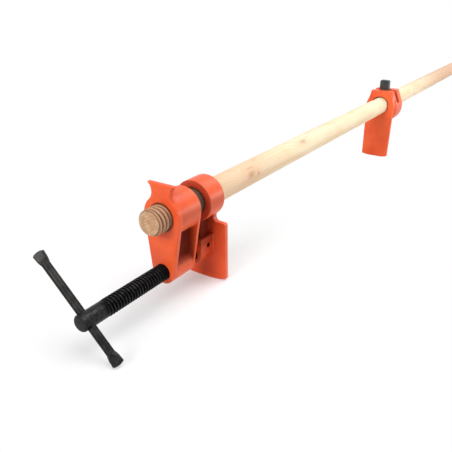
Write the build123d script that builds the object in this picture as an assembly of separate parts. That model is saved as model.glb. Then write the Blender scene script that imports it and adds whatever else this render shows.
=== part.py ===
"""A pipe-clamp fixture on a round wooden bar, in millimetres.

Frame: +X runs along the bar from the head to the tail stop, +Z is up. The origin
is the middle of the sliding jaw's foot, on the surface that both jaws stand on.

Each piece is modelled about the bar's axis or its own, and is then put in its place.
"""

from build123d import *
import math
import os

# Bar: a wooden pole as thick as a three-quarter inch pipe
bar_diameter = 26.7
bar_length = 1219.0
bar_end_chamfer = 1.6
bar_proud_of_head = 17.0

# Heights of the bar above the standing surface, and of the bar above the screw
bar_height = 88.0
screw_drop = 55.0

# Screw, with a hub for the handle at one end and a grooved nose at the other
screw_diameter = 16.2
screw_out_of_head = 105.0
screw_end_chamfer = 1.2
screw_shoulder_gap = 1.6
hub_diameter = 15.4
hub_length = 25.0
hub_end_chamfer = 1.3
nose_diameter = 13.6
nose_groove_diameter = 10.4
nose_groove_margin = 0.3
nose_chamfer = 1.0
nose_end_gap = 0.3

# Handle: a round bar that slides in the hub, kept in by a flattened fan at each end
handle_diameter = 7.5
handle_length = 112.5
handle_off_centre = 11.7
handle_hole_from_end = 7.5
handle_lean = 43.1
handle_roll = 50.0
fan_length = 11.0
fan_width = 10.6
fan_thickness = 4.2
fan_neck_length = 3.5
fan_neck_width = 9.2
fan_neck_thickness = 5.4
fan_end_radius = 11.0
fan_corner_chamfer = 1.3

# Head casting
head_length = 35.0
head_ring_radius = 20.3
head_foot_radius = 12.4
head_plate_thickness = 5.0
head_back_thickness = 4.0
head_web_thickness = 9.0
head_pocket_chamfer = 1.5
head_rim_chamfer = 0.9
horn_top = 31.2
horn_neck_half_width = 10.7
horn_scallop_radius = 10.8

# Sliding jaw casting
jaw_head_gap = 14.0
jaw_ring_radius = 21.0
jaw_ring_length = 24.0
jaw_ring_chamfer = 0.8
jaw_bore_chamfer = 0.8
jaw_plate_thickness = 5.2
jaw_plate_crown = 1.5
jaw_shoulder_drop = 24.7
jaw_shoulder_half_width = 25.2
jaw_shoulder_rounding = 2.6
jaw_foot_half_width = 26.6
jaw_scallop_radius = 5.0
jaw_rim_chamfer = 0.7
jaw_neck_thickness = 14.0
jaw_neck_set_back = 2.5
socket_half_width = 11.6
socket_rise = 17.0
socket_reach = 27.0
socket_floor = 6.0
socket_chamfer = 0.9
socket_root_chamfer = 1.4

# Pin that holds the screw's nose in the jaw
pin_diameter = 4.8
pin_from_face = 14.6
pin_set_in = 2.6

# Tail stop casting
jaw_opening = 521.5
tail_bore_diameter = 28.8
tail_plate_thickness = 5.5
tail_top = 24.6
tail_top_half_width = 16.4
tail_shoulder_half_width = 23.1
tail_shoulder_height = 1.0
tail_foot_half_width = 21.8
tail_rim_chamfer = 0.6
tail_length = 40.5
tail_body_radius = 27.0
tail_body_drop = 4.0
tail_body_flare = 5.0
tail_body_chamfer = 1.2
tail_corner_rounding = 1.6
tail_rib_thickness = 15.0
tail_rib_foot_depth = 15.0
tail_rib_foot_rise = 3.0
tail_rib_rounding = 1.5
chamber_radius = 23.4
chamber_sill_height = 5.0
spring_seat_radius = 19.6
spring_seat_depth = 10.0

# The foot of each jaw: a flat land in the middle, and arcs that rise to the corners
foot_land_half_width = 9.0
foot_corner_rise = 2.0
foot_corner_rounding = 0.8

# Clutch plates, which lean towards the head until they grip the bar
clutch_plates = 3
clutch_plate_thickness = 2.5
clutch_plate_gap = 0.2
clutch_front = 17.2
clutch_radius = 21.6
clutch_toe_width = 18.0
clutch_tab_width = 15.0
clutch_tab_top = 41.0
clutch_tab_rounding = 2.2
clutch_tab_root_fillet = 2.5
clutch_bore_diameter = 27.8
clutch_lean = 5.0

# Clutch spring
spring_wire = 1.8
spring_turns = 2.0
spring_mean_radius = 17.0
spring_end_gap = 0.3

# Clearances
bar_slide_clearance = 0.35
bar_thread_clearance = 0.1
screw_clearance = 0.1
socket_clearance = 0.1
handle_clearance = 0.1
pin_clearance = 0.05
chamber_clearance = 0.35

# How far a cutter stands past the face that it opens, and how near two places
# have to be to count as the same when edges are picked
cutter_margin = 1.0
same_place = 0.01

# Places along the bar: the sliding jaw's foot is centred on the origin
jaw_face_x = (jaw_plate_thickness + jaw_plate_crown + jaw_rim_chamfer) / 2
head_front_x = jaw_face_x - jaw_ring_length - jaw_head_gap - head_length
tail_face_x = jaw_face_x + jaw_opening
bar_start_x = head_front_x - bar_proud_of_head
screw_height = bar_height - screw_drop
screw_start = head_front_x - screw_out_of_head - jaw_face_x

# Radii, and what follows from them
bar_radius = bar_diameter / 2
screw_radius = screw_diameter / 2
nose_radius = nose_diameter / 2
handle_radius = handle_diameter / 2
pin_radius = pin_diameter / 2
groove_radius = nose_groove_diameter / 2
pin_rise = groove_radius + nose_groove_margin + pin_radius + pin_clearance

# The tail's bore is wider than the bar, and stands on it from below
tail_bore_rise = tail_bore_diameter / 2 - bar_radius - bar_slide_clearance

# The plates pivot where their toes stand in the bottom of the chamber
clutch_pitch = clutch_plate_thickness + clutch_plate_gap
clutch_stack = clutch_plates * clutch_pitch - clutch_plate_gap
toe_radius = chamber_radius - chamber_clearance
pivot_drop = tail_body_drop + toe_radius - clutch_plate_thickness / 2
chamber_back = clutch_front + clutch_stack + chamber_clearance


def cylinder_x(radius, start, end, z=0.0):
    """A cylinder along X from start to end."""
    along_x = Pos(start, 0, z) * Rot(0, 90, 0)
    return along_x * Cylinder(radius, end - start, align=(Align.CENTER, Align.CENTER, Align.MIN))


def block(start, end, width, bottom, top):
    """A block that is centred on the plane Y = 0."""
    middle = Pos((start + end) / 2, 0, (bottom + top) / 2)
    return middle * Box(end - start, width, top - bottom)


def slab(outline, start, end):
    """An outline drawn across the bar, as (y, z), thickened along X from start to end."""
    return extrude(Plane.YZ.offset(start) * outline, end - start)


def disc(radius, y=0.0, z=0.0):
    return Pos(y, z) * Circle(radius)


def face_of(*points):
    return make_face(Polyline(*points, close=True))


def band_round(*outlines):
    """The outline that a tight band round several outlines would take."""
    edges = ShapeList()
    for outline in outlines:
        edges += outline.edges()
    return make_hull(edges)


def rim(solid, x):
    """The outer rim of the flat face that lies across the bar at x."""
    faces = [f for f in solid.faces().filter_by(Axis.X) if abs(f.center().X - x) < same_place]
    return max(faces, key=lambda f: f.area).outer_wire().edges()


def footed_outline(foot_half_width, *right_side):
    """A jaw's outline: its right side's points from the top, mirrored, and its foot's curves."""
    land = (foot_land_half_width, -bar_height)
    corner = (foot_half_width, foot_corner_rise - bar_height)
    left_side = [(-y, z) for y, z in reversed(right_side) if y > 0]
    sides = Polyline((-corner[0], corner[1]), *left_side, *right_side, corner)
    right_arc = TangentArc(land, corner, tangent=(1, 0))
    left_arc = mirror(right_arc, Plane.YZ)
    middle = Line((-land[0], land[1]), land)
    return make_face(sides.edges() + right_arc.edges() + left_arc.edges() + middle.edges())


def rounded_corners(outline, half_width, radius):
    """Round an outline's corners that lie at half_width on each side."""
    corners = outline.vertices().filter_by(lambda v: abs(abs(v.X) - half_width) < same_place)
    return fillet(corners, radius)


def wooden_bar():
    """Round pole, from its near end, with both ends chamfered."""
    pole = cylinder_x(bar_radius, 0, bar_length)
    return chamfer(rim(pole, 0) + rim(pole, bar_length), bar_end_chamfer)


def head_casting():
    """Horned front plate and plain back plate, joined by two bosses and a thin web."""
    band = band_round(disc(head_ring_radius), disc(head_foot_radius, 0, -screw_drop))

    # The horns' scallops run tangent into the ring round the bar
    scallop_y = horn_neck_half_width + horn_scallop_radius
    scallop_z = math.sqrt((head_ring_radius + horn_scallop_radius) ** 2 - scallop_y**2)
    horns = face_of(
        (0, 0),
        (scallop_y, scallop_z),
        (scallop_y, horn_top),
        (-scallop_y, horn_top),
        (-scallop_y, scallop_z),
    )
    for side in (-1, 1):
        horns -= disc(horn_scallop_radius, side * scallop_y, scallop_z)

    plate = slab(band + horns, 0, head_plate_thickness)
    plate = chamfer(rim(plate, 0), head_rim_chamfer)
    body = slab(band, head_plate_thickness, head_length)
    body = chamfer(rim(body, head_length), head_rim_chamfer)
    casting = plate + body
    for side in (-1, 1):
        casting -= head_pocket(side)

    casting -= cylinder_x(bar_radius + bar_thread_clearance, 0, head_length)
    casting -= cylinder_x(screw_radius + screw_clearance, 0, head_length, -screw_drop)
    return casting


def head_pocket(side):
    """The space beside the web, between the two plates and the two bosses."""
    start = head_plate_thickness
    end = head_length - head_back_thickness
    near = head_web_thickness / 2
    far = head_ring_radius + head_web_thickness
    space = Pos((start + end) / 2, side * (near + far) / 2, -screw_drop / 2)
    pocket = space * Box(end - start, far - near, screw_drop)
    pocket -= cylinder_x(head_ring_radius, 0, head_length)
    pocket -= cylinder_x(head_foot_radius, 0, head_length, -screw_drop)
    web_side = min(pocket.faces().filter_by(Axis.Y), key=lambda f: abs(f.center().Y))
    deep_edges = web_side.edges() + pocket.edges().filter_by(GeomType.CIRCLE)
    return chamfer(deep_edges, head_pocket_chamfer)


def sliding_jaw():
    """Ring on the bar, wide work plate below it, and a socket for the screw's nose."""
    # The plate's scallops run tangent into the ring and into the plate's shoulders
    scallop_z = -jaw_shoulder_drop + jaw_scallop_radius
    scallop_y = math.sqrt((jaw_ring_radius + jaw_scallop_radius) ** 2 - scallop_z**2)
    outline = footed_outline(
        jaw_foot_half_width,
        (0, 0),
        (scallop_y, scallop_z),
        (scallop_y, -jaw_shoulder_drop),
        (jaw_shoulder_half_width, -jaw_shoulder_drop),
    )
    outline = rounded_corners(outline, jaw_shoulder_half_width, jaw_shoulder_rounding)
    outline = rounded_corners(outline, jaw_foot_half_width, foot_corner_rounding)
    for side in (-1, 1):
        outline -= disc(jaw_scallop_radius, side * scallop_y, scallop_z)
    outline += disc(jaw_ring_radius)

    # The plate swells towards the screw between its two edges
    middle_thickness = jaw_plate_thickness + jaw_plate_crown
    plate = slab(outline, -middle_thickness, 0)
    swell = ThreePointArc(
        (-jaw_plate_thickness, -jaw_foot_half_width),
        (-middle_thickness, 0),
        (-jaw_plate_thickness, jaw_foot_half_width),
    )
    swell = make_face(swell.edges() + Line(swell @ 1, swell @ 0).edges())
    swell += Pos(-jaw_plate_thickness / 2, 0) * Rectangle(jaw_plate_thickness, 2 * jaw_foot_half_width)
    plate &= extrude(Plane.XY.offset(-bar_height) * swell, bar_height + jaw_ring_radius)
    plate = chamfer(rim(plate, 0), jaw_rim_chamfer)

    ring = cylinder_x(jaw_ring_radius, -jaw_ring_length, -jaw_rim_chamfer)
    ring = chamfer(rim(ring, -jaw_ring_length), jaw_ring_chamfer)
    neck = block(
        jaw_neck_set_back - jaw_ring_length,
        -jaw_rim_chamfer,
        jaw_neck_thickness,
        -screw_drop,
        -bar_radius - jaw_neck_set_back,
    )
    casting = plate + ring + neck + screw_socket()

    # Sloped roots where the socket's sides and round bottom run into the plate
    roots = casting.edges().filter_by(
        lambda e: -middle_thickness - same_place < e.center().X < -jaw_plate_thickness
        and abs(e.center().Y) < socket_half_width + same_place
        and foot_corner_rise - bar_height < e.center().Z < socket_rise - screw_drop - same_place
    )
    casting = chamfer(roots, socket_root_chamfer)

    casting -= cylinder_x(bar_radius + bar_slide_clearance, -jaw_ring_length, 0)
    bore_edges = casting.edges().filter_by(GeomType.CIRCLE).filter_by(
        lambda e: abs(e.radius - bar_radius - bar_slide_clearance) < same_place
    )
    casting = chamfer(bore_edges, jaw_bore_chamfer)
    casting -= cylinder_x(nose_radius + socket_clearance, -socket_reach, -socket_floor, -screw_drop)
    casting -= pin_hole()
    return casting


def screw_socket():
    """Round-bottomed block that reaches from the work plate over the screw's nose."""
    width = 2 * socket_half_width
    outline = Pos(0, -screw_drop + socket_rise / 2) * Rectangle(width, socket_rise)
    outline += disc(socket_half_width, 0, -screw_drop)
    socket = slab(outline, -socket_reach, -jaw_rim_chamfer)
    return chamfer(rim(socket, -socket_reach), socket_chamfer)


def pin_hole():
    """Cross hole of the retaining pin, whose edge stands in the nose's groove."""
    return Pos(-pin_from_face, 0, pin_rise - screw_drop) * Rot(90, 0, 0) * Cylinder(
        pin_radius + pin_clearance, 2 * socket_half_width
    )


def retaining_pin():
    """Plain pin, set in a little from both sides of the socket."""
    length = 2 * (socket_half_width - pin_set_in)
    return Pos(-pin_from_face, 0, pin_rise - screw_drop) * Rot(90, 0, 0) * Cylinder(pin_radius, length)


def clamp_screw():
    """Screw about its own axis, with x = 0 in the plane of the jaw's work face."""
    shoulder = -socket_reach - screw_shoulder_gap
    nose_end = -socket_floor - nose_end_gap
    hub_end = screw_start + hub_length
    hub = cylinder_x(hub_diameter / 2, screw_start, hub_end)
    hub = chamfer(rim(hub, screw_start), hub_end_chamfer)
    threaded = cylinder_x(screw_radius, hub_end, shoulder)
    threaded = chamfer(rim(threaded, hub_end) + rim(threaded, shoulder), screw_end_chamfer)
    nose = cylinder_x(nose_radius, shoulder, nose_end)
    nose = chamfer(rim(nose, nose_end), nose_chamfer)
    screw = hub + threaded + nose

    # The pin stands in the groove with the same margin all round
    half_width = pin_radius + nose_groove_margin
    groove_start = -pin_from_face - half_width
    groove_end = -pin_from_face + half_width
    groove = cylinder_x(screw_radius, groove_start, groove_end)
    screw -= groove - cylinder_x(groove_radius, groove_start, groove_end)

    hole = Cylinder(handle_radius + handle_clearance, 2 * hub_diameter)
    return screw - Pos(screw_start + handle_hole_from_end, 0, 0) * Rot(handle_lean - 90, 0, 0) * hole


def handle_bar():
    """Round bar along X with both ends pressed out flat into fans."""
    half_length = handle_length / 2
    shank_end = half_length - fan_length
    neck_end = shank_end + fan_neck_length
    octagon_corner = handle_diameter * (1 - math.sqrt(0.5))
    fan = loft(
        [
            fan_section(shank_end, handle_diameter, handle_diameter, octagon_corner),
            fan_section(neck_end, fan_neck_width, fan_neck_thickness, fan_corner_chamfer),
            fan_section(half_length, fan_width, fan_thickness, fan_corner_chamfer),
        ],
        ruled=True,
    )
    fan &= Pos(half_length - fan_end_radius, 0, 0) * Cylinder(fan_end_radius, 2 * fan_width)
    shank = cylinder_x(handle_radius, -shank_end, shank_end)
    return shank + fan + mirror(fan, Plane.YZ)


def fan_section(x, width, thickness, corner):
    """A fan's section: a rectangle across the handle with its corners cut off."""
    outline = Rectangle(width, thickness)
    return Plane.YZ.offset(x) * chamfer(outline.vertices(), corner)


def handle_place():
    """Leans the handle across the bar, rolls its flats and slides it off centre."""
    lean = math.radians(handle_lean)
    roll = math.radians(handle_roll)
    along = Vector(0, math.cos(lean), math.sin(lean))
    across = Vector(0, -math.sin(lean), math.cos(lean)) * math.sin(roll) + Vector(math.cos(roll), 0, 0)
    centre = Vector(screw_start + handle_hole_from_end, 0, 0) + along * handle_off_centre
    return Plane(origin=centre, x_dir=along, z_dir=along.cross(across)).location


def tail_stop():
    """Work plate on the bar, with a chamber behind it for the clutch and a rib below."""
    outline = footed_outline(
        tail_foot_half_width,
        (tail_top_half_width, tail_top),
        (tail_shoulder_half_width, tail_shoulder_height),
    )
    outline = rounded_corners(outline, tail_foot_half_width, foot_corner_rounding)
    plate = slab(outline, 0, tail_plate_thickness)
    plate = chamfer(rim(plate, 0), tail_rim_chamfer)

    # The body flares out behind the plate, and keeps the plate's flat top
    flare_start = tail_plate_thickness / 2
    flare_end = tail_plate_thickness + tail_body_flare
    narrow = tail_section(tail_shoulder_half_width - tail_rim_chamfer)
    wide = tail_section(tail_body_radius)
    body = loft([Plane.YZ.offset(flare_start) * narrow, Plane.YZ.offset(flare_end) * wide], ruled=True)
    barrel = slab(wide, flare_end, tail_length)
    barrel = chamfer(rim(barrel, tail_length), tail_body_chamfer)
    casting = plate + body + barrel + tail_rib() - clutch_chamber()

    seat_end = chamber_back + spring_seat_depth
    casting -= cylinder_x(spring_seat_radius, chamber_back, seat_end)
    casting -= cylinder_x(tail_bore_diameter / 2, 0, tail_length, tail_bore_rise)
    return casting


def tail_section(radius):
    """The tail's section behind its plate: round below and flat on top."""
    corner = Pos(tail_top_half_width, tail_top - tail_corner_rounding) * Circle(tail_corner_rounding)
    return band_round(disc(radius, 0, -tail_body_drop), corner, mirror(corner, Plane.YZ))


def tail_rib():
    """Rib in the middle of the plate's back, from the body down to the foot."""
    foot = foot_corner_rise + tail_rib_foot_rise - bar_height
    under_body = -tail_body_drop - tail_body_radius / 2
    side = face_of(
        (tail_plate_thickness / 2, under_body),
        (tail_length - tail_body_chamfer, under_body),
        (tail_length - tail_body_chamfer, -tail_body_drop - tail_body_radius + tail_body_chamfer),
        (tail_rib_foot_depth, foot),
        (tail_plate_thickness / 2, foot),
    )
    half = tail_rib_thickness / 2
    rib = extrude(Plane.XZ.offset(-half) * side, tail_rib_thickness)
    slope = max(rib.faces(), key=lambda f: f.normal_at().X - f.normal_at().Z)
    sides = slope.edges().filter_by(lambda e: abs(e.center().Y) > half - same_place)
    return fillet(sides, tail_rib_rounding)


def clutch_chamber():
    """Chamber open at the top, whose front wall leans as the plates do."""
    floor = -tail_body_drop - chamber_radius
    top = tail_top + cutter_margin
    front = clutch_front - chamber_clearance
    lean_run = (top + pivot_drop) * math.tan(math.radians(clutch_lean))
    side = face_of(
        (front, floor),
        (front, -pivot_drop),
        (front - lean_run, top),
        (chamber_back, top),
        (chamber_back, floor),
    )
    depth = 2 * (tail_body_radius + cutter_margin)
    wedge = extrude(Plane.XZ.offset(-depth / 2) * side, depth)
    section = disc(chamber_radius, 0, -tail_body_drop)
    section += Pos(0, (chamber_sill_height + top) / 2) * Rectangle(depth, top - chamber_sill_height)
    return wedge & slab(section, 0, tail_length)


def clutch_plate(number):
    """Steel plate with a thumb tab, leaning about the toe that it stands on."""
    body = disc(clutch_radius)
    toe = disc(toe_radius, 0, -tail_body_drop)
    toe &= Pos(0, -tail_body_drop - toe_radius / 2) * Rectangle(clutch_toe_width, toe_radius)
    tab_middle = clutch_tab_top / 2
    tab = Pos(0, tab_middle) * Rectangle(clutch_tab_width, clutch_tab_top)
    outline = body + toe + tab
    tips = outline.vertices().filter_by(lambda v: v.Y > clutch_tab_top - same_place)
    outline = fillet(tips, clutch_tab_rounding)
    roots = outline.vertices().filter_by(
        lambda v: clutch_radius / 2 < v.Y < clutch_radius
        and abs(abs(v.X) - clutch_tab_width / 2) < same_place
    )
    outline = fillet(roots, clutch_tab_root_fillet)
    outline -= disc(clutch_bore_diameter / 2)
    half = clutch_plate_thickness / 2
    plate = Pos(0, 0, pivot_drop) * slab(outline, -half, half)
    return clutch_pivot(number) * Rot(0, -clutch_lean, 0) * plate


def clutch_pivot(number):
    """Where the plate with this number, counted from 0 at the head's side, stands."""
    return Pos(clutch_front + clutch_plate_thickness / 2 + number * clutch_pitch, 0, -pivot_drop)


def clutch_spring():
    """Open coil round the bar, between the last plate and the bottom of its seat."""
    back = chamber_back + spring_seat_depth - spring_end_gap - spring_wire / 2
    front = chamber_back + spring_wire / 2
    pitch = (back - front) / spring_turns
    path = Helix(pitch, back - front, spring_mean_radius)
    wire = Plane(origin=path @ 0, z_dir=path % 0) * RegularPolygon(spring_wire / 2, 6)
    coil = sweep(wire, path=path, is_frenet=True)
    return Pos(front, 0, 0) * Rot(0, 90, 0) * coil


def assembly():
    """Every piece in its place, by name."""
    at_head = Pos(head_front_x, 0, bar_height)
    at_jaw = Pos(jaw_face_x, 0, bar_height)
    at_screw = Pos(jaw_face_x, 0, screw_height)
    at_tail = Pos(tail_face_x, 0, bar_height)
    pieces = {
        "wooden_bar": Pos(bar_start_x, 0, bar_height) * wooden_bar(),
        "head_casting": at_head * head_casting(),
        "clamp_screw": at_screw * clamp_screw(),
        "handle_bar": at_screw * handle_place() * handle_bar(),
        "sliding_jaw": at_jaw * sliding_jaw(),
        "retaining_pin": at_jaw * retaining_pin(),
        "tail_stop": at_tail * tail_stop(),
        "clutch_spring": at_tail * clutch_spring(),
    }
    for number in range(clutch_plates):
        pieces[f"clutch_plate_{number + 1}"] = at_tail * clutch_plate(number)
    return pieces


os.makedirs("parts", exist_ok=True)
for name, piece in assembly().items():
    export_step(piece, f"parts/{name}.step")
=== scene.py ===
# %% [markdown]
# # A pipe clamp on a wooden bar
#
# The clamp's solids come from its CAD model, in metres: bar, castings, screw, handle
# and clutch. This lesson gives them threads, paint, oiled steel and wood grain, and
# then puts them on a pale floor under soft light. CAD solids are never moved. A part
# that needs a new surface, such as a thread, is built beside the solid and replaces it.

# %% Load the clamp's solids
import math

import bmesh
import bpy
from mathutils import Matrix, Vector


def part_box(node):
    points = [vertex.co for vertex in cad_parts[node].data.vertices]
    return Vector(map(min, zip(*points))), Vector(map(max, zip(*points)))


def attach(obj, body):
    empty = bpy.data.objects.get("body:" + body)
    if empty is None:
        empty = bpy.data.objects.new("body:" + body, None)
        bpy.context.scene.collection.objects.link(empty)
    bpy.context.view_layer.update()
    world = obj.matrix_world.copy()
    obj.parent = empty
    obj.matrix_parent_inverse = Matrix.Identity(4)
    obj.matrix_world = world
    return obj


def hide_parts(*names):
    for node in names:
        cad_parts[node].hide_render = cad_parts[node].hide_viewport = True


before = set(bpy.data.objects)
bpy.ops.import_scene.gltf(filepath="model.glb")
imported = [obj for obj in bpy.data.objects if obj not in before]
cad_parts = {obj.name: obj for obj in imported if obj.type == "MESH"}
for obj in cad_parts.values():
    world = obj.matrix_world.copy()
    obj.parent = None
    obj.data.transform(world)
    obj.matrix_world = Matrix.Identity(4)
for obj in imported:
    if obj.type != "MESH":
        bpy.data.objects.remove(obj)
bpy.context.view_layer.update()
print("pieces:", sorted(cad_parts))

# %% [markdown]
# ## Sizes that the new pieces share with the solids
#
# A node's box says where its axis is and how thick it is, so the screw and the bar
# are read off their boxes. Only what the solids lack, such as a thread's pitch and
# depth, is written here.

# %% Read the axes and the ends off the solids
MM = 0.001


def span(name):
    """A solid's start and end along the bar, the height of its axis and its radius."""
    low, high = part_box(name)
    return low.x, high.x, (low.z + high.z) / 2, (high.z - low.z) / 2


bar_start, bar_end, bar_height, bar_radius = span("wooden_bar")
screw_start, screw_end, screw_height, screw_radius = span("clamp_screw")
head_front, head_back = span("head_casting")[:2]
jaw_back, jaw_front = span("sliding_jaw")[:2]
print(f"bar radius {bar_radius / MM:.2f} mm, screw radius {screw_radius / MM:.2f} mm")

# %% [markdown]
# ## Threads
#
# A thread is one tooth of the profile that turns round the axis and moves along it.
# Bmesh's spin does exactly that: it turns a few points round the axis and shifts them
# a little at every step. One turn is spun, and is then copied along until there are
# enough. The tooth is as long as the pitch, so each turn's end meets the next turn's
# start, and merging the doubles closes the surface. A Screw modifier could turn the
# tooth as well, but a bmesh can be cut and eased further in the same script.

# %% Spin one tooth into a thread
STEPS_PER_TURN = 60
MERGE_WITHIN = 0.02 * MM


def whole(made):
    """All of a bmesh, as its operators take it."""
    return made.verts[:] + made.edges[:] + made.faces[:]


def only_verts(geometry):
    """The points among what an operator gives back."""
    return [element for element in geometry if isinstance(element, bmesh.types.BMVert)]


def spin_thread(profile, pitch, start, end, height):
    """An open thread from start to past end, round the line Y = 0, Z = height.

    Its profile is one tooth, as (x, radius).
    """
    made = bmesh.new()
    points = [made.verts.new((start + x, 0, height + radius)) for x, radius in profile]
    edges = [made.edges.new(pair) for pair in zip(points, points[1:])]
    bmesh.ops.spin(
        made,
        geom=points + edges,
        cent=(0, 0, height),
        axis=(1, 0, 0),
        dvec=(pitch / STEPS_PER_TURN, 0, 0),
        angle=2 * math.pi,
        steps=STEPS_PER_TURN,
    )
    turns = 1
    while start + turns * pitch < end:
        copied = bmesh.ops.duplicate(made, geom=whole(made))["geom"]
        bmesh.ops.translate(made, verts=only_verts(copied), vec=(turns * pitch, 0, 0))
        turns *= 2
    bmesh.ops.remove_doubles(made, verts=made.verts, dist=MERGE_WITHIN)
    print(f"thread of {turns} turns: {len(made.verts)} points")
    return made


def tooth(pitch, crest, root, crest_width, root_width, rounding):
    """One pitch of a thread's profile from crest to crest, with its corners eased."""
    flank = (pitch - crest_width - root_width) / 2
    slope = (crest - root) / flank
    ease = rounding / 2
    half = [
        (0, crest),
        (crest_width / 2 - ease, crest),
        (crest_width / 2, crest - slope * ease / 4),
        (crest_width / 2 + ease, crest - slope * ease),
        (crest_width / 2 + flank - ease, root + slope * ease),
        (crest_width / 2 + flank, root + slope * ease / 4),
        (crest_width / 2 + flank + ease, root),
    ]
    return half + [(pitch - x, radius) for x, radius in reversed(half)]


# %% [markdown]
# The two ends of a thread are cut off flat. Where a thread runs out, its tooth sinks
# into the plain rod over a turn or two. Both are done on the finished surface: a
# plane cuts the ends, and each point's radius is eased towards the rod's.

# %% Cut a thread's ends and run it out
CUT_WITHIN = 1e-7


def set_radius(vert, height, change):
    """Moves a point towards or away from the axis. change gives the new radius."""
    across = Vector((0, vert.co.y, vert.co.z - height))
    across *= change(vert.co.x, across.length) / across.length
    vert.co = (vert.co.x, across.y, height + across.z)


def cut_ends(made, start, end):
    """Cuts off what lies before start and past end along the bar."""
    for x, side in ((start, -1), (end, 1)):
        bmesh.ops.bisect_plane(
            made,
            geom=whole(made),
            dist=CUT_WITHIN,
            plane_co=(x, 0, 0),
            plane_no=(side, 0, 0),
            clear_outer=True,
        )


def smooth_share(value, low, high):
    """0 at low, 1 at high, with a smooth start and end."""
    share = min(max((value - low) / (high - low), 0), 1)
    return share * share * (3 - 2 * share)


# %% [markdown]
# A rod's plain lengths, shoulders and rounded ends are drawn as a lathe would turn
# them: the open ring at a thread's end is extruded from station to station, each
# with its own place and radius, and is closed with a face at the last one.

# %% Turn plain lengths onto an open end
SAME_PLACE = 1e-6
SHARP_ANGLE = math.radians(40)


def open_ring(made, x):
    """The open edges that lie at one place along the bar."""
    rims = [edge for edge in made.edges if edge.is_boundary]
    return [rim for rim in rims if all(abs(v.co.x - x) < SAME_PLACE for v in rim.verts)]


def turn_on(made, start, stations, height):
    """Extrudes the open ring at start through the stations (x, radius) and closes it."""
    ring = open_ring(made, start)
    for x, radius in stations:
        grown = bmesh.ops.extrude_edge_only(made, edges=ring)["geom"]
        for vert in only_verts(grown):
            vert.co.x = x
            set_radius(vert, height, lambda _, old: radius)
        ring = open_ring(made, x)
    bmesh.ops.edgeloop_fill(made, edges=ring)


def finish_piece(made, name):
    """Turns a finished bmesh into a smooth-shaded object whose sharp edges stay sharp."""
    bmesh.ops.recalc_face_normals(made, faces=made.faces)
    mesh = bpy.data.meshes.new(name)
    made.to_mesh(mesh)
    made.free()
    mesh.shade_smooth()
    mesh.set_sharp_from_angle(angle=SHARP_ANGLE)
    piece = bpy.data.objects.new(name, mesh)
    bpy.context.scene.collection.objects.link(piece)
    print(f"{name}: {len(mesh.polygons)} faces")
    return piece


# %% [markdown]
# ## The wooden bar
#
# The bar's near end carries a coarse thread that was cut with a hand die, 17 mm of
# which stands out of the head. Wood can't hold a sharp tooth, so the crests are broad
# and rounded, and the die leaves them a little under the bar's own size. The end is
# chamfered, and the thread runs out behind the head. The rest of the bar is extruded
# from the thread's own edge, so that both are one closed mesh.

# %% Cut the bar's thread
BAR_PITCH = 4.95 * MM
BAR_THREAD_DEPTH = 2.1 * MM
BAR_CREST = 1.7 * MM
BAR_ROOT = 0.7 * MM
BAR_ROUNDING = 0.7 * MM
THREAD_CHAMFER = 2.2 * MM
THREAD_UNDERSIZE = 0.5 * MM
BAR_THREAD_LENGTH = 62 * MM
RUN_OUT_TURNS = 2
RUN_OUT_END = 0.2 * MM
# Where the camera sees it, the first groove before the head lies this far out. That
# side of the bar is this part of a turn round from the top, where the spin starts.
BAR_GROOVE_OUT = 3.0 * MM
CAMERA_SIDE_TURN = 56.4 / 360
TURNS_BEFORE_GROOVE = 6

groove_x = head_front - BAR_GROOVE_OUT - CAMERA_SIDE_TURN * BAR_PITCH
thread_origin = groove_x - BAR_PITCH / 2 - TURNS_BEFORE_GROOVE * BAR_PITCH
thread_end = bar_start + BAR_THREAD_LENGTH
crest_radius = bar_radius - THREAD_UNDERSIZE
root_radius = bar_radius - BAR_THREAD_DEPTH
bar_tooth = tooth(BAR_PITCH, crest_radius, root_radius, BAR_CREST, BAR_ROOT, BAR_ROUNDING)
bar = spin_thread(bar_tooth, BAR_PITCH, thread_origin, thread_end, bar_height)
cut_ends(bar, bar_start, thread_end)


def bar_profile(x, radius):
    run_out = smooth_share(x, thread_end - RUN_OUT_TURNS * BAR_PITCH, thread_end - RUN_OUT_END)
    radius += (bar_radius - radius) * run_out
    return min(radius, bar_radius - THREAD_CHAMFER + (x - bar_start))


for point in bar.verts:
    set_radius(point, bar_height, bar_profile)

# %% Add the plain length and both ends
BAR_CHAMFER = 1.6 * MM

far_end = [(bar_end - BAR_CHAMFER, bar_radius), (bar_end, bar_radius - BAR_CHAMFER)]
turn_on(bar, thread_end, far_end, bar_height)
bmesh.ops.edgeloop_fill(bar, edges=open_ring(bar, bar_start))
bar = finish_piece(bar, "threaded_bar")
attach(bar, "frame")
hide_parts("wooden_bar")

# %% [markdown]
# ## The clamp screw
#
# The screw is made as the bar is, with a finer thread. That thread is rolled, so its
# crests stand a little above the plain hub and the first turn rises out of it. The
# nose has a groove for the retaining pin. The hub is drilled across for the handle,
# which the CAD model places.

# %% Roll the screw's thread
SCREW_PITCH = 3.5 * MM
SCREW_THREAD_DEPTH = 1.35 * MM
SCREW_FLAT = 0.75 * MM
SCREW_ROUNDING = 0.6 * MM
TURNS_BEFORE_HUB_END = 2
RISE_START = 0.1 * MM
RISE_TURNS = 1.6
HUB_LENGTH = 25 * MM
HUB_RADIUS = 7.7 * MM
SHOULDER_CHAMFER = 1.2 * MM
NOSE_LENGTH = 22.3 * MM

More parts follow.
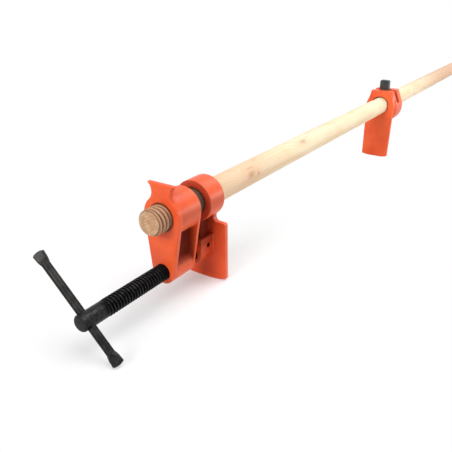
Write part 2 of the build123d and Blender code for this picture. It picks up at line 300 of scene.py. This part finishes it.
hub_end = screw_start + HUB_LENGTH
shoulder = screw_end - NOSE_LENGTH
screw_root = screw_radius - SCREW_THREAD_DEPTH
screw_tooth = tooth(
    SCREW_PITCH, screw_radius, screw_root, SCREW_FLAT, SCREW_FLAT, SCREW_ROUNDING
)
first_turn = hub_end - TURNS_BEFORE_HUB_END * SCREW_PITCH
screw = spin_thread(screw_tooth, SCREW_PITCH, first_turn, shoulder, screw_height)
cut_ends(screw, hub_end, shoulder)


def screw_profile(x, radius):
    rise = smooth_share(x, hub_end + RISE_START, hub_end + RISE_TURNS * SCREW_PITCH)
    radius = HUB_RADIUS + (radius - HUB_RADIUS) * rise
    return min(radius, screw_radius - SHOULDER_CHAMFER + (shoulder - x))


for point in screw.verts:
    set_radius(point, screw_height, screw_profile)

# %% Turn the hub and the nose
HUB_END_ROUNDING = 2 * MM
NOSE_RADIUS = 6.8 * MM
NOSE_CHAMFER = 1 * MM
GROOVE_RADIUS = 5.2 * MM
GROOVE_WIDTH = 5.4 * MM
GROOVE_FROM_SHOULDER = 11.3 * MM
# A square shoulder is two stations this far apart
SQUARE = 0.01 * MM

quarter = [math.radians(angle) for angle in (0, 18, 36, 54, 72, 90)]
hub_stations = [
    (
        screw_start + HUB_END_ROUNDING * (1 - math.sin(angle)),
        HUB_RADIUS - HUB_END_ROUNDING * (1 - math.cos(angle)),
    )
    for angle in quarter
]
groove_start = shoulder + GROOVE_FROM_SHOULDER
groove_end = groove_start + GROOVE_WIDTH
nose_stations = [
    (shoulder + SQUARE, NOSE_RADIUS),
    (groove_start, NOSE_RADIUS),
    (groove_start + SQUARE, GROOVE_RADIUS),
    (groove_end, GROOVE_RADIUS),
    (groove_end + SQUARE, NOSE_RADIUS),
    (screw_end - NOSE_CHAMFER, NOSE_RADIUS),
    (screw_end, NOSE_RADIUS - NOSE_CHAMFER),
]
turn_on(screw, hub_end, hub_stations, screw_height)
turn_on(screw, shoulder, nose_stations, screw_height)
screw = finish_piece(screw, "threaded_screw")

# %% [markdown]
# The cross hole is cut with a Boolean. Its cutter is a cylinder along the handle, and
# the handle's own vertices say where that is: the middles of its two tips lie on its
# axis, so the line between them gives the direction.

# %% Aim the drill along the handle
HANDLE_TIP = 12 * MM

handle_low, handle_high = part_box("handle_bar")
handle_points = [v.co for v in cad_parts["handle_bar"].data.vertices]
top = [p for p in handle_points if p.z > handle_high.z - HANDLE_TIP]
bottom = [p for p in handle_points if p.z < handle_low.z + HANDLE_TIP]
handle_axis = sum(top, Vector()) / len(top) - sum(bottom, Vector()) / len(bottom)
handle_axis.x = 0
print("the handle runs along", [round(part, 2) for part in handle_axis.normalized()])

# %% Drill the hub for the handle
HANDLE_HOLE_RADIUS = 3.85 * MM
HANDLE_HOLE_FROM_END = 7.5 * MM
DRILL_SIDES = 48

hole_place = Matrix.Translation((screw_start + HANDLE_HOLE_FROM_END, 0, screw_height))
drill = bmesh.new()
bmesh.ops.create_cone(
    drill,
    cap_ends=True,
    segments=DRILL_SIDES,
    radius1=HANDLE_HOLE_RADIUS,
    radius2=HANDLE_HOLE_RADIUS,
    depth=4 * HUB_RADIUS,
    matrix=hole_place @ handle_axis.to_track_quat("Z", "X").to_matrix().to_4x4(),
)
drill = finish_piece(drill, "drill")
cut = screw.modifiers.new("cross hole", "BOOLEAN")
cut.object = drill
cut.solver = "MANIFOLD"
bpy.context.view_layer.update()
cut_screw = screw.evaluated_get(bpy.context.evaluated_depsgraph_get())
drilled = bpy.data.meshes.new_from_object(cut_screw)
screw.modifiers.clear()
screw.data = drilled
drilled.set_sharp_from_angle(angle=SHARP_ANGLE)
bpy.data.objects.remove(drill)
print("drilled screw:", len(drilled.polygons), "faces")
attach(screw, "screw")
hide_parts("clamp_screw")

# %% [markdown]
# ## Shader sums as plain Python
#
# A node material is a long chain of small sums. The first class below wraps a node's
# output so that `1 - mask` or `rings * 0.2` adds the Math node by itself. The second
# adds any node in one way. Colours go through a Mix node, because a Math node would
# turn them grey.

# %% A small language for nodes
class Signal:
    """A number, vector or colour that comes out of a node."""

    def __init__(self, graph, socket):
        self.graph = graph
        self.socket = socket

    def __add__(self, other):
        return self.graph.maths("ADD", self, other)

    def __sub__(self, other):
        return self.graph.maths("SUBTRACT", self, other)

    def __rsub__(self, other):
        return self.graph.maths("SUBTRACT", other, self)

    def __mul__(self, other):
        return self.graph.maths("MULTIPLY", self, other)

    def __truediv__(self, other):
        return self.graph.maths("DIVIDE", self, other)

    def __pow__(self, other):
        return self.graph.maths("POWER", self, other)

    __radd__ = __add__
    __rmul__ = __mul__


class Graph:
    """A node tree, and the one way to add a node to it."""

    def __init__(self, tree):
        self.nodes = tree.nodes
        self.links = tree.links

    def node(self, kind, settings, inputs, output=0):
        """Adds any node: its settings first, then the values or links of its sockets."""
        made = self.nodes.new(kind)
        for name, value in settings.items():
            setattr(made, name, value)
        for name, value in inputs.items():
            self.feed(made.inputs[name], value)
        return Signal(self, made.outputs[output])

    def feed(self, socket, value):
        if isinstance(value, Signal):
            self.links.new(value.socket, socket)
        else:
            socket.default_value = value

    def maths(self, operation, *values):
        """A Math node on one or two numbers, each a signal or a plain one."""
        return self.node("ShaderNodeMath", {"operation": operation}, dict(enumerate(values)))


# %% [markdown]
# A finish is such a tree with a Principled shader at its end. Its patterns read the
# point on the object, so they stay put when a piece moves. Most masks are one of two
# kinds: a fade, which is a smooth step between two places, and a band, which is a
# rise and a fall.

# %% Name the nodes that a finish needs
class Finish(Graph):
    """A material with a Principled shader, and short names for the nodes that feed it."""

    def __init__(self, name):
        self.material = bpy.data.materials.new(name)
        self.material.use_nodes = True
        super().__init__(self.material.node_tree)
        self.shader = self.nodes["Principled BSDF"]

    def place(self, stretch=(1, 1, 1), shift=(0, 0, 0)):
        """The point on the object, in metres, stretched and then shifted."""
        point = self.node("ShaderNodeTexCoord", {}, {}, "Object")
        inputs = {"Vector": point, "Location": shift, "Scale": stretch}
        return self.node("ShaderNodeMapping", {"vector_type": "POINT"}, inputs)

    def split(self, vector):
        """A vector's X, Y and Z."""
        return [self.node("ShaderNodeSeparateXYZ", {}, {0: vector}, i) for i in range(3)]

    def length(self, vector):
        """A vector's length. For a place, this is how far it is from zero."""
        settings = {"operation": "LENGTH"}
        return self.node("ShaderNodeVectorMath", settings, {0: vector}, "Value")

    def from_axis(self, height):
        """How far a point is from the line along the bar at a height over the floor."""
        return self.length(self.place((0, 1, 1), (0, 0, -height)))

    def noise(self, scale, place=None, detail=2, roughness=0.5):
        """Cloudy noise from about 0.3 to 0.7, about 1 / scale metres from spot to spot."""
        where = place or self.place()
        inputs = {"Vector": where, "Scale": scale, "Detail": detail, "Roughness": roughness}
        return self.node("ShaderNodeTexNoise", {}, inputs)

    def fade(self, value, low, high, start=0.0, end=1.0):
        """A smooth step from start, where value is low, to end, where it is high."""
        settings = {"interpolation_type": "SMOOTHSTEP"}
        inputs = {"Value": value, 1: low, 2: high, 3: start, 4: end}
        return self.node("ShaderNodeMapRange", settings, inputs)

    def band(self, value, low, high, rise, fall):
        """1 between low and high and 0 outside. It rises and falls inside that range."""
        return self.fade(value, low, low + rise) * self.fade(value, high, high - fall)

    def mix(self, share, first, second):
        """The first colour where the share is 0 and the second where it is 1."""
        inputs = {0: share, 6: first, 7: second}
        return self.node("ShaderNodeMix", {"data_type": "RGBA"}, inputs, 2)

    def bump(self, height, distance, strength, under=None):
        """A relief of at most a distance in metres, which may lie on another one."""
        inputs = {"Height": height, "Distance": distance, "Strength": strength}
        if under:
            inputs["Normal"] = under
        return self.node("ShaderNodeBump", {}, inputs)

    def surface(self, sockets):
        """Sets or links the shader's sockets by their own names."""
        for name, value in sockets.items():
            self.feed(self.shader.inputs[name], value)
        print(self.material.name, "has", len(self.nodes), "nodes")


def shade(red, green, blue):
    """A colour as a screen shows it, 0 to 255, made linear for a shader."""
    levels = [level / 255 for level in (red, green, blue)]
    linear = [x / 12.92 if x <= 0.04045 else ((x + 0.055) / 1.055) ** 2.4 for x in levels]
    return (*linear, 1)


def dress(finish, *pieces):
    """Gives pieces a finish in place of the material that they had."""
    for piece in pieces:
        piece.data.materials.clear()
        piece.data.materials.append(finish.material)


# %% [markdown]
# ## Enamel on the castings
#
# Head, jaw and tail stop are iron castings under thick orange-red paint. The paint
# levels the sand's grain to a faint orange peel, pools a little darker in broad
# patches, and keeps a dull gloss. Three sizes of noise do this: one for the patches,
# one for the sand's specks and one for the peel.

# %% Mix the enamel
enamel = Finish("enamel")
patches = enamel.noise(40, detail=3)
sand = enamel.noise(520, detail=3, roughness=0.6)
peel = enamel.noise(1500, detail=1)
paint = enamel.mix(enamel.fade(patches, 0.3, 0.7), shade(232, 85, 39), shade(242, 99, 47))
paint = enamel.mix(enamel.fade(sand, 0.62, 0.8) * 0.25, paint, shade(196, 58, 28))
print("the paint's own tones take", len(enamel.nodes), "nodes")

# %% [markdown]
# A casting's recesses get painted shade: the paint is darker in the head's pockets
# and beside the jaw's neck, and the head's shadow is painted on the jaw's side towards
# it. A recess is a box along and up the bar whose painted shade grows darker from its
# mouth inwards, so three masks are multiplied. It starts and ends where the solids say.
# Its other four numbers are in millimetres: its bottom and top over the bench, and how
# far its mouth and its inner wall are from the middle plane.

# %% Find the recesses
HEAD_PLATE = 5 * MM
PAST_HEAD = 4 * MM
INTO_JAW_PLATE = 2 * MM
# How far the painted shade takes to rise or fall at each side of a recess
AT_START = 1 * MM
AT_END = 9 * MM
AT_BOTTOM = 6 * MM
AT_TOP = 4 * MM

at_x, at_y, at_z = enamel.split(enamel.place())
off_centre = enamel.maths("ABSOLUTE", at_y)


def recess(start, end, bottom, top, mouth, inner_wall):
    """How deep in a recess a point is, from 0 at its mouth to 1 at its inner wall."""
    inside = enamel.band(at_x, start - AT_START / 2, end, AT_START, AT_END)
    inside = inside * enamel.band(at_z, bottom * MM, top * MM, AT_BOTTOM, AT_TOP)
    return inside * enamel.fade(off_centre, mouth * MM, inner_wall * MM)


pocket_start, pocket_end = head_front + HEAD_PLATE, head_back + PAST_HEAD
# Painted shade in the head's pockets and the jaw's neck, and the head's painted shadow on the
# jaw
head_pocket = recess(pocket_start, pocket_end, 34, 75, 19.5, 6)
jaw_neck = recess(jaw_back, INTO_JAW_PLATE, 40, 73, 16, 8)
behind_head = recess(jaw_back, INTO_JAW_PLATE, 2, 73, 34, 8)
print(f"the head's pockets run from {pocket_start / MM:.1f} to {pocket_end / MM:.1f} mm")

# %% [markdown]
# Four more places get painted shade: the ring's face towards the head, the lower
# sides of the bosses, the rim of each bore, and the tail stop's plate just over the
# bar, where the gap is. The pin's end is sunk in its hole, and the hole is painted
# almost black as its shade.

# %% Find the other places for painted shade
RING_LENGTH = 24 * MM
PAST_JAW = 30 * MM
BEFORE_TAIL_STOP = (400 * MM, 500 * MM)

ring_back = jaw_front - RING_LENGTH
# Painted shade on the ring's face, the bosses' lower sides, the bore rims, over the bar and in
# the pin's hole
ring_face = enamel.band(at_x, ring_back - 1 * MM, ring_back + 0.8 * MM, 0.9 * MM, 0.5 * MM)
ring_face = ring_face * enamel.fade(at_z, 66 * MM, 74 * MM)
lower_side = enamel.band(at_z, bar_height - 10 * MM, bar_height + 13 * MM, 12 * MM, 11 * MM)
lower_side = lower_side * enamel.band(at_x, pocket_start, PAST_JAW, 1 * MM, 10 * MM)
from_bar = enamel.from_axis(bar_height)
bore_rim = enamel.fade(from_bar, bar_radius + 1.8 * MM, bar_radius + 0.3 * MM)
over_bar = enamel.fade(from_bar, bar_radius + 2.6 * MM, bar_radius + 1.2 * MM)
over_bar = over_bar * enamel.fade(at_x, *BEFORE_TAIL_STOP)
over_bar = over_bar * enamel.fade(at_z, bar_height, bar_height + 8 * MM)
pin_low, pin_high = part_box("retaining_pin")
pin_x, pin_z = (pin_low.x + pin_high.x) / 2, (pin_low.z + pin_high.z) / 2
from_pin = enamel.length(enamel.place((1, 0, 1), (-pin_x, 0, -pin_z)))
pin_hole = enamel.fade(from_pin, 2.9 * MM, 2.4 * MM)
print(f"pin hole at {pin_x / MM:.1f}, {pin_z / MM:.1f} mm")

# %% Paint the shade into them and finish the enamel
# Painted shade: each row is a mask with its strength, and the colour of the shade
PAINTED_SHADE = [
    (bore_rim * 0.6, (120, 30, 14)),
    (over_bar * 0.85, (84, 20, 10)),
    (behind_head * 0.42, (165, 20, 16)),
    (lower_side * 0.3, (120, 30, 14)),
    (head_pocket * 0.9, (100, 20, 8)),
    (jaw_neck * 0.85, (84, 16, 8)),
    (ring_face * 0.75, (172, 54, 36)),
    (pin_hole, (50, 12, 8)),
]
for share, colour in PAINTED_SHADE:
    paint = enamel.mix(share, paint, shade(*colour))
dullness = enamel.fade(patches + sand * 0.5, 0.5, 1.0, 0.36, 0.48) + head_pocket * 0.3
sand_relief = enamel.bump(sand, 0.10 * MM, 0.5)
enamel.surface(
    {
        "Base Color": paint,
        "Roughness": dullness,
        "Normal": enamel.bump(peel, 0.04 * MM, 0.5, sand_relief),
        "Specular IOR Level": 0.25,
        "Coat Weight": (1 - head_pocket) * (1 - jaw_neck) * 0.15,
        "Coat Roughness": 0.3,
    }
)
castings = [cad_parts[name] for name in ("head_casting", "sliding_jaw", "tail_stop")]
dress(enamel, *castings)

# %% [markdown]
# The solids' rims are plain chamfers. Paint rounds such an edge, so the two faces
# beside it are made to shade into each other: the mesh's seams are welded, corners
# sharper than 50 degrees are kept apart, and the larger faces steer the rest.

# %% Soften the castings' rims
SEAM = 0.001 * MM
CORNER_ANGLE = math.radians(50)

for casting in castings:
    casting.modifiers.new("weld", "WELD").merge_threshold = SEAM
    casting.modifiers.new("corners", "EDGE_SPLIT").split_angle = CORNER_ANGLE
    casting.modifiers.new("steer", "WEIGHTED_NORMAL")
print(len(castings), "castings softened")

# %% [markdown]
# ## Wood
#
# A pole is turned from a board, so the tree's rings are nearly straight planes that
# run along it. They show as long streaks on its sides and as arcs on its cut end.
# One pattern does both: rings about a line far beside the bar, bent by a noise that
# is stretched along X, and bent more beside each knot.

# %% Saw the wood's rings
RING_PITCH = 3.0 * MM
RING_WARP = 7 * MM
KNOT_BEND = 5 * MM
# The tree's pith is this far from the bar's axis, to the camera's side and below
PITH_ASIDE = 34 * MM
PITH_BELOW = 52 * MM
# Each knot: its centre and its reach along each axis, in mm, and its strength
KNOTS = [
    ((70, -12.6, 92.4), (11, 5.5, 5.5), 0.9),
    ((84, -13.0, 90.6), (4.0, 2.2, 2.2), 0.85),
    ((204, -8.4, 98.2), (11.0, 4.0, 4.0), 0.75),
    ((72, -8.2, 98.6), (9.0, 1.8, 1.8), 0.4),
    ((560, -9.0, 97.0), (12.0, 3.0, 3.0), 0.4),
]

wood = Finish("wood")


def knot_distance(centre, reach):
    """1 at the edge of an ellipse about the knot's centre, and less inside it."""
    scale = [1 / (r * MM) for r in reach]
    shift = [-c * MM * s for c, s in zip(centre, scale)]
    return wood.length(wood.place(scale, shift))


spots = [knot_distance(centre, reach) for centre, reach, _ in KNOTS]
warp = wood.noise(1.0, wood.place((2.5, 60, 60)), detail=3)
_, y, z = wood.split(wood.place((1, 1, 1), (0, PITH_ASIDE, PITH_BELOW - bar_height)))
distance = (y * y + z * z) ** 0.5 + warp * RING_WARP
for spot in spots:
    distance = distance + wood.fade(spot, 4.5, 0.5) * KNOT_BEND
ring = wood.maths("FRACT", distance / RING_PITCH)
late_wood = wood.band(ring, 0.45, 1.0, 0.5, 0.05)
print(len(spots), "knots bend the rings")

# %% [markdown]
# Each ring is pale, with a narrow tan line of late wood. Fine fibres and broad
# blotches break it up. The bar is darker and warmer beside the jaw, and browner
# towards its free end.

# %% Tint the wood
NEAR_TAN = (170 * MM, 70 * MM)
FAR_TAN = (600 * MM, 950 * MM)
CLEAR_GRAIN = (120 * MM, 400 * MM)

fibres = wood.noise(1.0, wood.place((9, 700, 700)), detail=2, roughness=0.7)
blotches = wood.noise(1.0, wood.place((14, 45, 45)), detail=2)
along = wood.split(wood.place())[0]
timber = wood.mix(wood.fade(blotches, 0.35, 0.7), shade(247, 230, 194), shade(243, 214, 172))
timber = wood.mix(wood.fade(along, *NEAR_TAN) * 0.6, timber, shade(226, 184, 146))
timber = wood.mix(wood.fade(along, *FAR_TAN), timber, shade(202, 162, 130))
ring_strength = wood.fade(along, *CLEAR_GRAIN, 0.3, 0.17)
timber = wood.mix(late_wood * ring_strength, timber, shade(222, 172, 132))
timber = wood.mix(wood.fade(fibres, 0.5, 0.75) * 0.12, timber, shade(222, 178, 136))
print(f"the bar is tanned up to {NEAR_TAN[0]:.2f} m and again from {FAR_TAN[0]:.2f} m")

# %% [markdown]
# Small knots sit on the side that faces the camera. Each is a spot in stretched space:
# an ellipse about its centre, darker in the middle and ragged at its edge, with a
# faint halo. The rings above were already bent round it.

# %% Add the knots
ragged = wood.noise(260, detail=2)
for (_, _, strength), spot in zip(KNOTS, spots):
    stain = wood.fade(spot + ragged * 0.9, 1.5, 0.45) * strength
    timber = wood.mix(stain, timber, shade(176, 124, 84))
    halo = wood.fade(spot, 2.6, 0.8) * (strength * 0.35)
    timber = wood.mix(halo, timber, shade(228, 176, 132))
print("knots at", [centre[0] for centre, _, _ in KNOTS], "mm along the bar")

# %% [markdown]
# The thread was cut rough and is browner than the pole, most of all in its valleys.
# At the mouth of the head's bore it is darkened with painted shade. Between head and
# jaw the bar is nearly black: partly its own dark tone, partly painted shade of the gap.

# %% Brown the thread and paint its shade
from_axis = wood.from_axis(bar_height)
near_end = wood.fade(along, head_back + 4 * MM, head_back - 2 * MM)
valley = wood.fade(from_axis, bar_radius - 0.1 * MM, root_radius) * near_end
on_face = wood.fade(along, bar_start + 0.3 * MM, bar_start + 0.05 * MM)
# Painted shade at the mouth of the head's bore
mouth = wood.fade(along, head_front - 2.2 * MM, head_front - 0.4 * MM) * near_end
jaw_middle = (jaw_back + jaw_front) / 2
# Nearly black between head and jaw: partly the bar's own dark tone, partly painted shade of
# the narrow gap
dark_tone_and_shade = wood.band(along, head_back - 1 * MM, jaw_middle + 6 * MM, 1 * MM, 6 * MM)
# The browned thread, and painted shade at the bore's mouth and between head and jaw
BROWNED_AND_SHADED = [
    (near_end * 0.8, (190, 140, 102)),
    (valley * (1 - on_face) * 0.95, (98, 50, 22)),
    (mouth * 0.7, (64, 36, 22)),
    (dark_tone_and_shade * 0.92, (44, 30, 18)),
]
for share, colour in BROWNED_AND_SHADED:
    timber = wood.mix(share, timber, shade(*colour))
print(f"oil on the bar from {head_back / MM:.1f} to {jaw_middle / MM:.1f} mm")

# %% [markdown]
# The end shows the cut fibres as a mottle of two browns, with olive stains and the
# rings over it. Its colour is made apart and laid over the bar's at the very end, and
# its relief is weaker, because the saw left it flatter.

# %% Finish the wood with its end grain
mottle = wood.noise(190, detail=3, roughness=0.6)
olive = wood.noise(120, wood.place((1, 1, 1), (3, 0, 0)))
end_grain = wood.mix(wood.fade(mottle, 0.35, 0.65), shade(208, 166, 130), shade(182, 138, 98))
end_grain = wood.mix(wood.fade(olive, 0.5, 0.7) * 0.6, end_grain, shade(166, 148, 108))
end_grain = wood.mix(late_wood * 0.35, end_grain, shade(156, 104, 70))
relief = (fibres + late_wood * 0.5) * (1 - on_face * 0.8)
wood.surface(
    {
        "Base Color": wood.mix(on_face, timber, end_grain),
        "Roughness": wood.fade(fibres, 0.3, 0.7, 0.46, 0.6),
        "Normal": wood.bump(relief, 0.05 * MM, 0.5),
    }
)
dress(wood, bar)

# %% [markdown]
# ## Steel
#
# Screw and handle are blackened and have a coat of oil, so they are almost black and
# reflect the room only as a dull sheen. The clutch plates are blued spring steel, a
# cold slate grey with fine rolling lines, and the hidden spring is bright. The pin is
# painted near black and dull, as painted shade of the hole that it sits in. All four
# differ only in numbers, so one loop makes them from a table.

# %% Blacken, blue and brush the steel
# Each steel: its two tones, metallic, roughness, and its grain's stretch and depth in mm
STEELS = {
    "black_steel": ((30, 30, 31), (48, 47, 45), 1.0, 0.40, (900, 900, 900), 0.03),
    "plate_steel": ((56, 61, 63), (80, 84, 85), 0.75, 0.42, (300, 60, 2500), 0.01),
    "spring_steel": ((120, 122, 126), (150, 150, 152), 0.9, 0.35, (500, 500, 500), 0.01),
    # The pin's near-black tones are painted shade of its hole
    "pin_steel": ((12, 11, 10), (20, 18, 16), 0.2, 0.40, (600, 60, 600), 0.01),
}
STEEL_PIECES = {
    "black_steel": ["handle_bar"],
    "plate_steel": ["clutch_plate_1", "clutch_plate_2", "clutch_plate_3"],
    "spring_steel": ["clutch_spring"],
    "pin_steel": ["retaining_pin"],
}

for name, (dark, light, metallic, roughness, stretch, depth) in STEELS.items():
    steel = Finish(name)
    cloud = steel.noise(90, detail=3)
    grain = steel.noise(1.0, steel.place(stretch), detail=2, roughness=0.6)
    tone = steel.fade(cloud * 0.7 + grain * 0.3, 0.35, 0.65)
    steel.surface(
        {
            "Base Color": steel.mix(tone, shade(*dark), shade(*light)),
            "Roughness": steel.fade(grain, 0.3, 0.7, roughness - 0.06, roughness + 0.08),
            "Normal": steel.bump(grain, depth * MM, 0.4),
            "Metallic": metallic,
        }
    )
    dress(steel, *[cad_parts[piece] for piece in STEEL_PIECES[name]])

# %% [markdown]
# The screw's thread is almost black. Only its crests are worn bright, so they catch
# the light as thin lines. Just before the head they are dimmed, as painted shade where
# the screw enters it. The plain hub is as worn as the handle.

# %% Colour the screw and paint its shade before the head
# Wear starts this far below the crests, and has bared the steel here
WORN_DEPTH = 0.35 * MM
BARE_DEPTH = 0.02 * MM
# Before the head the crests dim over this length, as painted shade where the screw enters it
SHADE_BEFORE_HEAD = 15 * MM
DEEPEST_SHADE_BEFORE_HEAD = 5 * MM

thread_steel = Finish("thread_steel")
off_axis = thread_steel.from_axis(screw_height)
screw_x = thread_steel.split(thread_steel.place())[0]
wear = thread_steel.noise(420, detail=3, roughness=0.6)
crest = thread_steel.fade(off_axis, screw_radius - WORN_DEPTH, screw_radius - BARE_DEPTH)
shade_start, shade_full = head_front - SHADE_BEFORE_HEAD, head_front - DEEPEST_SHADE_BEFORE_HEAD
# Painted shade: the crests keep only 0.3 of their tone just before the head
unshaded_share = thread_steel.fade(screw_x, shade_start, shade_full, 1.0, 0.3)
rubbed_and_unshaded = crest * unshaded_share * thread_steel.fade(wear, 0.35, 0.6)
thread_tone_and_shade = thread_steel.mix(rubbed_and_unshaded, shade(11, 11, 11), shade(56, 57, 59))
hub_tone = thread_steel.fade(wear, 0.4, 0.65)
hub_tone = thread_steel.mix(hub_tone, shade(37, 37, 38), shade(54, 53, 52))
on_hub = thread_steel.fade(screw_x, hub_end + 1 * MM, hub_end - 5 * MM)
thread_steel.surface(
    {
        "Base Color": thread_steel.mix(on_hub, thread_tone_and_shade, hub_tone),
        "Roughness": thread_steel.fade(wear, 0.3, 0.7, 0.34, 0.46),
        "Normal": thread_steel.bump(wear, 0.03 * MM, 0.4),
        "Metallic": 1.0,
    }
)
dress(thread_steel, screw)

# %% [markdown]
# ## The floor
#
# The clamp stands on a white floor in a bright white room. Lamps that lit the floor
# to pure white would burn out the pale wood, so the floor makes up the difference
# with a glow that only the camera, reflections and clear pieces see. The glow is weak
# near the clamp, where its shadow has to show, weaker still under the jaw, and full
# further off.

# %% Make the floor glow
FLOOR_GREY = (0.8, 0.8, 0.8, 1)
FLOOR_WHITE = (0.93, 0.93, 0.935, 1)
WHITE = (1, 1, 1, 1)
NEAR_GLOW = 0.50
FAR_GLOW = 1.0
GLOW_CENTRE = (-90 * MM, 0, 0)
GLOW_REACH = (90 * MM, 300 * MM)
JAW_FOOT = (-12 * MM, -10 * MM, 0)
FOOT_SHADE = 0.32
FOOT_REACH = 60 * MM


def seen_directly(graph):
    """1 for a ray from the camera, a reflection or a clear piece, else 0."""
    camera_ray, glossy_ray, passed_ray = (
        graph.node("ShaderNodeLightPath", {}, {}, f"Is {kind} Ray")
        for kind in ("Camera", "Glossy", "Transmission")
    )
    return graph.maths("MAXIMUM", graph.maths("MAXIMUM", camera_ray, glossy_ray), passed_ray)


floor_finish = Finish("pale floor")


def far_from(centre):
    """How far a point of the floor is from a centre."""
    return floor_finish.length(floor_finish.place((1, 1, 1), [-c for c in centre]))


seen = seen_directly(floor_finish)
share = floor_finish.fade(far_from(GLOW_CENTRE), *GLOW_REACH, NEAR_GLOW, FAR_GLOW)
share = share - floor_finish.fade(far_from(JAW_FOOT), FOOT_REACH, 0.0) * FOOT_SHADE
glow = floor_finish.node("ShaderNodeEmission", {}, {"Color": WHITE, "Strength": 1.0})
tint = floor_finish.mix(seen, FLOOR_GREY, FLOOR_WHITE)
floor_finish.surface({"Base Color": tint, "Roughness": 0.9})
plain = Signal(floor_finish, floor_finish.shader.outputs[0])
mixed = floor_finish.node("ShaderNodeMixShader", {}, {0: seen * share, 1: plain, 2: glow})
floor_finish.feed(floor_finish.nodes["Material Output"].inputs["Surface"], mixed)

# %% [markdown]
# The floor itself is one large face. It lies a hair below the feet, because two faces
# at the same height would flicker where they touch.

# %% Lay the floor
FLOOR_SIZE = 40.0
FLOOR_DROP = 0.05 * MM

ground = bmesh.new()
bmesh.ops.create_grid(ground, x_segments=1, y_segments=1, size=FLOOR_SIZE / 2)
bmesh.ops.translate(ground, verts=ground.verts, vec=(0, 0, -FLOOR_DROP))
floor = finish_piece(ground, "floor")
dress(floor_finish, floor)

# %% [markdown]
# ## The light
#
# The room itself lights the clamp only faintly, but is white to the camera and in
# reflections, as the floor is. Its light and that white are added and held at 1, so
# that it is never brighter than white.

# %% Whiten the room
ROOM_LIGHT = 0.1

room = bpy.data.worlds.new("white room")
bpy.context.scene.world = room
room.use_nodes = True
walls = Graph(room.node_tree)
brightness = walls.node(
    "ShaderNodeMath",
    {"operation": "ADD", "use_clamp": True},
    {0: seen_directly(walls), 1: ROOM_LIGHT},
)
walls.feed(walls.nodes["Background"].inputs["Strength"], brightness)
walls.feed(walls.nodes["Background"].inputs["Color"], WHITE)
print("the room lights the clamp at", ROOM_LIGHT, "of white")

# %% [markdown]
# Four soft lamps do the rest. The key stands far beyond the handle and shines along
# the bar, which throws the shadow. The skylight fills in from above. The window, high
# beyond the free end, lights what faces that way and puts a sheen on the paint. The
# fill is low, and stands for the light that a white floor throws up at the bar.

# %% Hang the lamps
# Each lamp: its place, what it points at and its width, in metres, and its watts
LAMPS = {
    "key": ((-8.0, 0.9, 4.3), (0.1, 0, 0.05), 4.7, 560.0),
    "skylight": ((0.3, -1.0, 3.7), (0.3, 0, 0), 3.6, 118.0),
    "window": ((3.1, -0.4, 2.45), (0.0, 0, 0.08), 2.0, 28.0),
    "fill": ((1.3, -1.0, 0.22), (0.6, 0, 0.07), 0.4, 5.0),
}

for name, (place, target, size, power) in LAMPS.items():
    lamp = bpy.data.objects.new(name, bpy.data.lights.new(name, "AREA"))
    lamp.data.shape = "DISK"
    lamp.data.size = size
    lamp.data.energy = power
    lamp.location = place
    lamp.rotation_mode = "QUATERNION"
    lamp.rotation_quaternion = (Vector(target) - Vector(place)).to_track_quat("-Z", "Y")
    bpy.context.scene.collection.objects.link(lamp)
print("lamps:", *LAMPS)

# %% [markdown]
# ## The camera
#
# The camera stands where the photographer's did: beyond the handle, to one side, and
# looking down along the bar. Its place, its right and its view were fitted to the
# photo with the bar's diameter as the scale. Two directions make its matrix, because
# the third is square to both. Nothing is out of focus.

# %% Set the camera where the photographer stood
LENS = 45.0
NEAREST = 0.01
PHOTO_PLACE = (-0.431265, -0.297757, 0.285973)
RIGHT = Vector((0.53936, -0.84196, 0.01393))
AHEAD = Vector((0.77340, 0.48876, -0.40370))

camera = bpy.data.objects.new("camera", bpy.data.cameras.new("camera"))
camera.data.lens = LENS
camera.data.clip_start = NEAREST
up = RIGHT.cross(AHEAD).normalized()
turn = Matrix((RIGHT, up, -AHEAD)).transposed().to_4x4()
camera.matrix_world = Matrix.Translation(PHOTO_PLACE) @ turn
bpy.context.scene.collection.objects.link(camera)
bpy.context.scene.camera = camera
bpy.context.scene.view_settings.view_transform = "Standard"
print(f"camera {camera.location.length:.2f} m from the jaw's foot")
